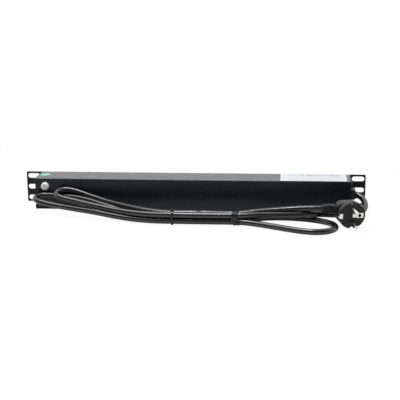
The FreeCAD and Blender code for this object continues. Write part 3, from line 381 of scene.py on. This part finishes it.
paper = bpy.data.materials.new("white_sweep")
paper.use_nodes = True
tree = paper.node_tree
tree.nodes.clear()
spot = add(tree, "ShaderNodeNewGeometry")
away = add(tree, "ShaderNodeVectorMath", {0: spot.outputs["Position"]}, operation="LENGTH")
path = add(tree, "ShaderNodeLightPath")
shares = []
for rays, near in ((path.outputs["Is Camera Ray"], WHITE_SHARE), (mirrored(tree, path), MIRROR_SHARE)):
    shares.append(maths(tree, "MULTIPLY", ramp(tree, away.outputs["Value"], *LIT_REACH, low=near), rays))
lit = add(tree, "ShaderNodeBsdfDiffuse", {"Color": PAPER})
plain = add(tree, "ShaderNodeEmission", {"Color": WHITE, "Strength": 1.0})
share = maths(tree, "MAXIMUM", *shares)
choose = add(tree, "ShaderNodeMixShader", {0: share, 1: lit.outputs[0], 2: plain.outputs[0]})
add(tree, "ShaderNodeOutputMaterial", {"Surface": choose.outputs[0]})
floor_mesh.materials.append(paper)
print("white share near the unit", WHITE_SHARE)

# %% [markdown]
# ## Effects that several finishes share
#
# Black pieces look alike from afar and differ in their skin: moulded plastic has a fine even
# grain, a drawn profile has faint lines along its length, and every handled surface has patches
# that are a little duller. Each of these is built once as a node group and placed in a material
# with its own values. A fourth group rounds sharp edges in the shading, because no real edge is
# perfectly sharp and the thin light line along it tells the eye so.

# %% Group: moulded grain
FLOAT, VECTOR = "NodeSocketFloat", "NodeSocketVector"
MOTTLE_SCALE = 0.035        # mottling is this much broader than the grain


def new_group(name, inputs, outputs):
    """Empty shader group with float inputs by value and outputs by socket kind."""
    made = bpy.data.node_groups.new(name, "ShaderNodeTree")
    for label, value in inputs.items():
        socket = made.interface.new_socket(label, in_out="INPUT", socket_type=FLOAT)
        socket.default_value = value
    for label, kind in outputs.items():
        made.interface.new_socket(label, in_out="OUTPUT", socket_type=kind)
    return made, made.nodes.new("NodeGroupInput"), made.nodes.new("NodeGroupOutput")


moulded_grain, given, result = new_group(
    "moulded grain", {"Scale": 1500.0}, {"Height": FLOAT, "Mottle": FLOAT})
where = add(moulded_grain, "ShaderNodeTexCoord").outputs["Object"]
fine = add(moulded_grain, "ShaderNodeTexNoise",
           {"Vector": where, "Scale": given.outputs["Scale"], "Detail": 2.0, "Roughness": 0.55})
broad_scale = maths(moulded_grain, "MULTIPLY", given.outputs["Scale"], MOTTLE_SCALE)
broad = add(moulded_grain, "ShaderNodeTexNoise",
            {"Vector": where, "Scale": broad_scale, "Detail": 3.0, "Roughness": 0.6})
join(moulded_grain, fine.outputs[0], result.inputs["Height"])
join(moulded_grain, broad.outputs[0], result.inputs["Mottle"])
print("group:", moulded_grain.name)

# %% Group: drawn lines
PULL = (0.006, 1.0, 1.0)    # draws the noise out along the profile
STREAK_SCALE = 0.12         # streaks are this much wider than the lines

drawn_lines, given, result = new_group(
    "drawn lines", {"Scale": 900.0}, {"Height": FLOAT, "Streak": FLOAT})
where = add(drawn_lines, "ShaderNodeTexCoord").outputs["Object"]
pulled = add(drawn_lines, "ShaderNodeMapping", {"Vector": where, "Scale": PULL}).outputs["Vector"]
lines = add(drawn_lines, "ShaderNodeTexNoise",
            {"Vector": pulled, "Scale": given.outputs["Scale"], "Detail": 3.0, "Roughness": 0.6})
wide_scale = maths(drawn_lines, "MULTIPLY", given.outputs["Scale"], STREAK_SCALE)
streaks = add(drawn_lines, "ShaderNodeTexNoise",
              {"Vector": pulled, "Scale": wide_scale, "Detail": 2.0, "Roughness": 0.5})
join(drawn_lines, lines.outputs[0], result.inputs["Height"])
join(drawn_lines, streaks.outputs[0], result.inputs["Streak"])
print("group:", drawn_lines.name)

# %% Group: handled patches
PATCH_SCALE = 55.0
PATCH_RANGE = (0.32, 0.68)  # of the noise, from the glossiest to the dullest patch

handled, given, result = new_group("handled patches", {"Low": 0.3, "High": 0.4}, {"Roughness": FLOAT})
where = add(handled, "ShaderNodeTexCoord").outputs["Object"]
cloud = add(handled, "ShaderNodeTexNoise",
            {"Vector": where, "Scale": PATCH_SCALE, "Detail": 5.0, "Roughness": 0.62})
spread = ramp(handled, cloud.outputs[0], *PATCH_RANGE, given.outputs["Low"], given.outputs["High"])
join(handled, spread, result.inputs["Roughness"])
print("group:", handled.name)

# %% Group: softened edges
EDGE = 0.0003               # radius of most edges
SMALL_EDGE = 0.0002         # and of small or metal pieces

softened, given, result = new_group("softened edges", {"Radius": EDGE}, {"Normal": VECTOR})
rounded = add(softened, "ShaderNodeBevel", {"Radius": given.outputs["Radius"]}, samples=6)
join(softened, rounded.outputs["Normal"], result.inputs["Normal"])
print("groups:", [g.name for g in bpy.data.node_groups])

# %% [markdown]
# ## Finishes
#
# Every finish is a Principled shader in a material of its own. Most pieces differ only in colour,
# gloss and grain, so one function makes these finishes, each from a row of values. Drawn
# aluminium, striped insulation and printed film have functions of their own.

# %% Helpers for finishes
def new_finish(name, roughness=0.4, metallic=0.0, gleam=0.5):
    """Material with one Principled shader; gives back the material, its tree and the shader."""
    material = bpy.data.materials.new(name)
    material.use_nodes = True
    tree = material.node_tree
    shader = tree.nodes["Principled BSDF"]
    shader.inputs["Roughness"].default_value = roughness
    shader.inputs["Specular IOR Level"].default_value = gleam
    shader.inputs["Metallic"].default_value = metallic
    return material, tree, shader


def place_group(tree, group, **values):
    """Node of a shared group with its own values."""
    return add(tree, "ShaderNodeGroup", values, node_tree=group)


def two_tone(tree, shader, mask, dark, light):
    """Mixes two colours by a mask into the shader's colour."""
    blend = add(tree, "ShaderNodeMix", {"Factor": mask, "A": (*dark, 1), "B": (*light, 1)}, data_type="RGBA")
    join(tree, blend.outputs["Result"], shader.inputs["Base Color"])


def handle(tree, shader, gloss):
    """Gives the shader patches of roughness within a range."""
    patches = place_group(tree, handled, Low=gloss[0], High=gloss[1])
    join(tree, patches.outputs["Roughness"], shader.inputs["Roughness"])


def relief(tree, shader, height, depth, edge=EDGE):
    """Bump of a given depth over a normal with softened edges."""
    corner = place_group(tree, softened, Radius=edge)
    bump = add(tree, "ShaderNodeBump",
               {"Strength": 1.0, "Distance": depth, "Height": height, "Normal": corner.outputs["Normal"]})
    join(tree, bump.outputs["Normal"], shader.inputs["Normal"])


def grained(name, dark, light, gloss, grain, depth, gleam=0.5, edge=EDGE, metallic=0.0):
    """Grained skin; gloss is the range of roughness, grain the noise scale, depth that of the bump."""
    material, tree, shader = new_finish(name, metallic=metallic, gleam=gleam)
    skin = place_group(tree, moulded_grain, Scale=grain)
    two_tone(tree, shader, skin.outputs["Mottle"], dark, light)
    handle(tree, shader, gloss)
    relief(tree, shader, skin.outputs["Height"], depth, edge)
    return material


finishes = {}
print("helpers for finishes are ready")

# %% Black plastics and paint
GREEN_FOLLOWS = 0.17        # share of the blue cast that green takes


def grey(value, blue=1.7):
    """Very dark tone, a little blue, as black paint and anodised skins are."""
    return (value, value * (1 + GREEN_FOLLOWS * (blue - 1)), value * blue)


BLACKS = {      # dark and light tone, range of roughness, grain, depth, gleam, edge
    "bracket_paint": (grey(0.005), grey(0.009), (0.34, 0.46), 2600, 0.00002, 0.25, EDGE),
    "black_screw": (grey(0.008), grey(0.014), (0.28, 0.40), 2000, 0.00001, 0.4, SMALL_EDGE),
    "outlet_plastic": (grey(0.006), grey(0.011), (0.30, 0.42), 3000, 0.00001, 0.4, EDGE),
    "bushing_plastic": (grey(0.004), grey(0.008), (0.34, 0.46), 2500, 0.00002, 0.55, EDGE),
    "cord_sheath": (grey(0.001), grey(0.002), (0.22, 0.28), 900, 0.000002, 0.8, 0.0),
    "plug_plastic": (grey(0.008, 1.0), grey(0.012, 1.0), (0.38, 0.50), 3000, 0.00002, 0.34, EDGE),
    "tie_plastic": (grey(0.003), grey(0.006), (0.22, 0.32), 1500, 0.000008, 0.4, SMALL_EDGE),
    "twist_film": (grey(0.004), grey(0.008), (0.14, 0.24), 1200, 0.00001, 0.5, SMALL_EDGE),
}
for name, row in BLACKS.items():
    finishes[name] = grained(name, *row)
print("black finishes:", len(BLACKS))

# %% Black anodised profile
PROFILE_TONES = (grey(0.008), grey(0.011))
PROFILE_GLOSS, PROFILE_GLEAM = (0.20, 0.30), 0.24
PROFILE_LINES, PROFILE_DEPTH = 1400.0, 0.0000012


def anodised():
    """Drawn and anodised aluminium: very dark, satin, with faint lines along its length."""
    material, tree, shader = new_finish("black_anodised", gleam=PROFILE_GLEAM)
    drawn = place_group(tree, drawn_lines, Scale=PROFILE_LINES)
    two_tone(tree, shader, drawn.outputs["Streak"], *PROFILE_TONES)
    handle(tree, shader, PROFILE_GLOSS)
    relief(tree, shader, drawn.outputs["Height"], PROFILE_DEPTH)
    return material


finishes["black_anodised"] = anodised()
print("profile:", finishes["black_anodised"].name)

# %% Metals
METALS = {      # dark and light tone, range of roughness, grain, depth, metallic
    "plated_steel": ((0.80, 0.80, 0.79), (0.90, 0.90, 0.89), (0.46, 0.56), 1800, 0.00001, 0.3),
    "nickel_pin": ((0.84, 0.82, 0.78), (0.92, 0.90, 0.86), (0.20, 0.30), 1500, 0.000006, 1.0),
    "rail_brass": ((0.66, 0.46, 0.20), (0.78, 0.57, 0.28), (0.24, 0.36), 1500, 0.00001, 1.0),
    "tinned_copper": ((0.62, 0.60, 0.56), (0.74, 0.72, 0.67), (0.28, 0.4), 1500, 0.00001, 1.0),
}
for name, (*row, metallic) in METALS.items():      # a dull plating scatters light almost as paint does
    finishes[name] = grained(name, *row, edge=SMALL_EDGE, metallic=metallic)
print("metals:", len(METALS))

# %% Pale and coloured plastics
PALE_GRAIN, PALE_DEPTH = 1800.0, 0.00002
PALES = {       # dark and light tone, range of roughness
    "insulator_sheet": ((0.66, 0.62, 0.50), (0.76, 0.72, 0.60), (0.45, 0.6)),
    "block_plastic": ((0.70, 0.68, 0.60), (0.80, 0.78, 0.71), (0.35, 0.5)),
    "live_insulation": ((0.13, 0.05, 0.02), (0.18, 0.08, 0.03), (0.35, 0.5)),
    "neutral_insulation": ((0.02, 0.09, 0.38), (0.04, 0.13, 0.46), (0.35, 0.5)),
    "sticker_film": ((0.24, 0.55, 0.38), (0.30, 0.62, 0.45), (0.40, 0.52)),
}
for name, row in PALES.items():
    finishes[name] = grained(name, *row, PALE_GRAIN, PALE_DEPTH)
print("pale and coloured plastics:", len(PALES))

# %% Striped insulation
STRIPE_RATE = 2200.0        # radians for each metre of height
GREEN, YELLOW = (0.03, 0.28, 0.06), (0.70, 0.58, 0.04)


def striped_insulation():
    """Green insulation with a yellow stripe along the lead."""
    material, tree, shader = new_finish("earth_insulation")
    where = add(tree, "ShaderNodeTexCoord")
    apart = add(tree, "ShaderNodeSeparateXYZ", {0: where.outputs["Object"]})
    swing = maths(tree, "SINE", maths(tree, "MULTIPLY", apart.outputs["Z"], STRIPE_RATE))
    two_tone(tree, shader, maths(tree, "GREATER_THAN", swing, 0.0), GREEN, YELLOW)
    return material


finishes["earth_insulation"] = striped_insulation()
print("earth leads:", finishes["earth_insulation"].name)

# %% [markdown]
# ## Printed film
#
# The white film on the top face carries only grey bars, as a blank form would. The bars could be
# thin strips of mesh, but print has no thickness, so a mask worked out from the position is the
# truer way: rows across the film, broken into words by a noise that is stretched along each row.
# The round green film is plain, and is one of the coloured plastics above.

# %% Label
LABEL_ROWS = 9.0
BAR_SHARE = 0.42            # of a row's height
BAR_TONE = 0.4              # beside the heading, which is fully inked
HEADING_AT, HEADING_HALF = 0.84, 0.04       # of the film's depth
MARGINS = (0.12, 0.90)      # of its length
LETTERS = 62.0              # along the film
WORD_SCALE, WORD_LIMIT = 0.55, 0.47         # the noise that breaks a row, and where it leaves gaps
ROW_STEP = 7.3              # through the noise, so that each row breaks in other places
FILM, INK = (0.73, 0.76, 0.80), (0.30, 0.31, 0.33)
FILM_GLOSS, FILM_GLEAM = (0.38, 0.52), 0.2


def printed_label():
    """White film with pale grey bars in rows."""
    material, tree, shader = new_finish("label_film", gleam=FILM_GLEAM)
    low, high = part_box("rating_label")
    where = add(tree, "ShaderNodeTexCoord")
    apart = add(tree, "ShaderNodeSeparateXYZ", {0: where.outputs["Object"]})
    across = ramp(tree, apart.outputs["X"], low.x, high.x)
    along = ramp(tree, apart.outputs["Y"], low.y, high.y)
    rows = maths(tree, "MULTIPLY", along, LABEL_ROWS)
    bars = maths(tree, "LESS_THAN", maths(tree, "FRACT", rows), BAR_SHARE)
    heading = maths(tree, "COMPARE", along, HEADING_AT, HEADING_HALF)
    cell = add(tree, "ShaderNodeCombineXYZ", {
        "X": maths(tree, "MULTIPLY", across, LETTERS),
        "Y": maths(tree, "MULTIPLY", maths(tree, "FLOOR", rows), ROW_STEP)})
    words = add(tree, "ShaderNodeTexNoise", {"Vector": cell.outputs[0], "Scale": WORD_SCALE, "Detail": 1.0})
    mask = maths(tree, "MAXIMUM", maths(tree, "MULTIPLY", bars, BAR_TONE), heading)
    for limit in (maths(tree, "GREATER_THAN", words.outputs[0], WORD_LIMIT),
                  maths(tree, "GREATER_THAN", across, MARGINS[0]),
                  maths(tree, "LESS_THAN", across, MARGINS[1])):
        mask = maths(tree, "MULTIPLY", mask, limit)
    two_tone(tree, shader, mask, FILM, INK)
    handle(tree, shader, FILM_GLOSS)
    return material


finishes["label_film"] = printed_label()
print("finishes:", len(finishes))

# %% [markdown]
# ## Dressing the solids
#
# The record says which finish each solid takes, so one loop dresses them all. Curved faces come
# as flat facets from the CAD model: shading them smooth up to a limit angle turns a faceted
# cylinder round again and keeps its true edges crisp.

# %% Dress every solid
SMOOTH_LIMIT = math.radians(32)
slot_of = {piece["node"]: piece["material_slot"] for piece in frame["record"]["subparts"]}
for name, solid in nodes.items():
    solid.data.materials.clear()
    solid.data.materials.append(finishes[slot_of[name]])
    solid.data.shade_smooth()
    solid.data.set_sharp_from_angle(angle=SMOOTH_LIMIT)
line.materials.append(finishes["cord_sheath"])
tie_data.materials.append(finishes["twist_film"])
tie_data.shade_smooth()
tie_data.set_sharp_from_angle(angle=SMOOTH_LIMIT)
print("dressed:", len(nodes), "solids in", len(set(slot_of.values())), "finishes")

# %% [markdown]
# ## Slots of the plug's neck
#
# The neck bends with the cord because slots are moulded into it. In the model they sit on the flat
# of the neck; the real ones reach up over its rounded corner, where the light catches the teeth
# between them. A geometry-nodes modifier cuts them on and leaves the mesh itself as it came. The
# edges of a cut have no shading of their own yet, so the last nodes mark steep edges as sharp.

# %% Places of the slots
CORD_END, NECK_SLOPE = 26.0, 0.2            # along the neck from the plug's axis, and how it leans back
SLOTS_AT = (20.2, 23.6, 27.0)
SLOT_FORWARD, SLOT_UP = 4.6, 4.3            # of a slot's middle, from the cord's line
PLUG_SWING, PLUG_NOD = math.radians(15), math.radians(6)
PLUG_TURN = Matrix.Rotation(PLUG_SWING, 3, "Z") @ Matrix.Rotation(PLUG_NOD, 3, "X")


def neck_point(x, forward, up):
    """Place in the plug's neck, x from the plug's axis along the cord, in the model's frame."""
    from_cord_end = Vector((CORD_END - x, NECK_SLOPE * (x - CORD_END) - forward, up))
    return route[-1] + PLUG_TURN @ from_cord_end * MM


slot_places = [neck_point(x, SLOT_FORWARD, SLOT_UP) for x in SLOTS_AT]
print("neck slots at x", [round(place.x, 4) for place in slot_places])

# %% Cut the slots
SLOT_BOX = Vector((1.9, 4.6, 4.4)) * MM
WELD = 1e-6                 # closes the mesh for the cut
slots = bpy.data.node_groups.new("neck slots", "GeometryNodeTree")
for side in ("INPUT", "OUTPUT"):
    slots.interface.new_socket("Geometry", in_out=side, socket_type="NodeSocketGeometry")
given, result = slots.nodes.new("NodeGroupInput"), slots.nodes.new("NodeGroupOutput")
weld = add(slots, "GeometryNodeMergeByDistance", {"Geometry": given.outputs[0], "Distance": WELD})
cut = add(slots, "GeometryNodeMeshBoolean",
          {"Mesh 1": weld.outputs[0]}, operation="DIFFERENCE", solver="EXACT")
for place in slot_places:
    block = add(slots, "GeometryNodeMeshCube", {"Size": SLOT_BOX})
    put = add(slots, "GeometryNodeTransform",
              {"Geometry": block.outputs["Mesh"], "Translation": place, "Rotation": PLUG_TURN.to_euler()})
    join(slots, put.outputs[0], cut.inputs["Mesh 2"])
angle = add(slots, "GeometryNodeInputMeshEdgeAngle")
steep = add(slots, "FunctionNodeCompare",
            {"A": angle.outputs["Unsigned Angle"], "B": SMOOTH_LIMIT}, operation="GREATER_THAN")
crisp = add(slots, "GeometryNodeSetShadeSmooth",
            {"Geometry": cut.outputs["Mesh"], "Selection": steep.outputs[0], "Shade Smooth": False},
            domain="EDGE")
coat = add(slots, "GeometryNodeSetMaterial",
           {"Geometry": crisp.outputs[0], "Material": finishes["plug_plastic"]})
join(slots, coat.outputs[0], result.inputs[0])
nodes["plug_body"].modifiers.new("neck slots", "NODES").node_group = slots
print("neck slots:", len(slot_places))
